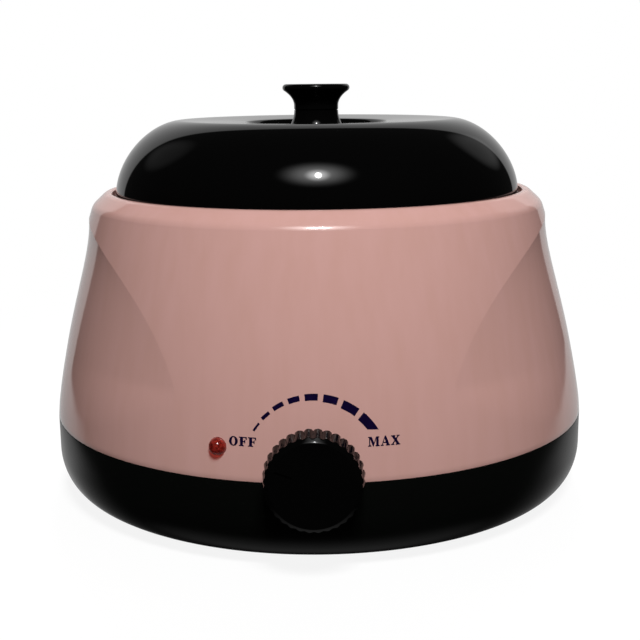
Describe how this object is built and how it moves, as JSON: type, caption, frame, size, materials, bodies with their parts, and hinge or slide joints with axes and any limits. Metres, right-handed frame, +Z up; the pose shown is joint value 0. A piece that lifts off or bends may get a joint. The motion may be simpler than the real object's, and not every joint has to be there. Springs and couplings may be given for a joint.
{
  "type": "wax warmer pot",
  "caption": "Round electric wax warmer with a moulded body, side hand grips, a front temperature dial, an indicator lamp, a lift-out pot with a bail and a domed lid with a knob.",
  "frame": {"origin": "on the body's vertical axis, on the plane of the foot ring that the warmer stands on", "axes": "+Z up, -Y to the front with the dial, +X to the right as seen from the front"},
  "size_m": [0.1854, 0.2005, 0.1395],
  "materials": {
    "pink_abs": "gloss moulded",
    "black_abs": "satin moulded",
    "gloss_black": "gloss moulded",
    "rubber": "matte",
    "red_lens": "translucent gloss",
    "aluminium": "satin spun",
    "steel": "zinc plated",
    "mica_band": "sheathed band",
    "glass_fibre": "woven glass fibre",
    "ceramic": "fired ceramic",
    "white_nylon": "moulded nylon",
    "lamp_glass": "clear glass"
  },
  "bodies": {
    "housing": {"upper_housing": "pink_abs", "base_pan": "black_abs", "foot_ring": "rubber", "housing_screws": "steel", "heating_cup": "aluminium", "heater_band": "mica_band", "band_bolt": "steel", "band_nut": "steel", "insulation_sleeve": "glass_fibre", "thermal_cutout": "ceramic", "cutout_nuts": "steel", "thermostat_body": "ceramic", "thermostat_nut": "steel", "thermostat_bracket": "steel", "bracket_screws": "steel", "indicator_lens": "red_lens", "lamp_holder": "white_nylon", "neon_lamp": "lamp_glass", "terminal_block": "white_nylon", "terminal_screws": "steel", "cord_gland": "black_abs", "gland_nut": "black_abs"},
    "dial": {"thermostat_shaft": "steel", "control_dial": "black_abs"},
    "pot": {"wax_pot": "aluminium", "bail_ears": "steel"},
    "bail": {"pot_bail": "steel"},
    "cover": {"lid": "gloss_black", "lid_knob": "gloss_black", "lid_knob_screw": "steel"}
  },
  "joints": [
    {"name": "dial_turn", "type": "hinge", "parent": "housing", "child": "dial", "pos_m": [0, -0.0936, 0.0318], "axis": [0, 1, 0], "range_deg": [0, 138]},
    {"name": "pot_lift", "type": "slide", "parent": "housing", "child": "pot", "axis": [0, 0, 1], "range_m": [0, 0.1]},
    {"name": "lid_lift", "type": "slide", "parent": "pot", "child": "cover", "axis": [0, 0, 1], "range_m": [0, 0.1]},
    {"name": "bail_swing", "type": "hinge", "parent": "pot", "child": "bail", "pos_m": [0, 0, 0.0958], "axis": [1, 0, 0], "range_deg": [0, 90]}
  ],
  "couplings": [
    {"joint": "bail_swing", "follows": "lid_lift", "rad_per_m": 15.7}
  ]
}
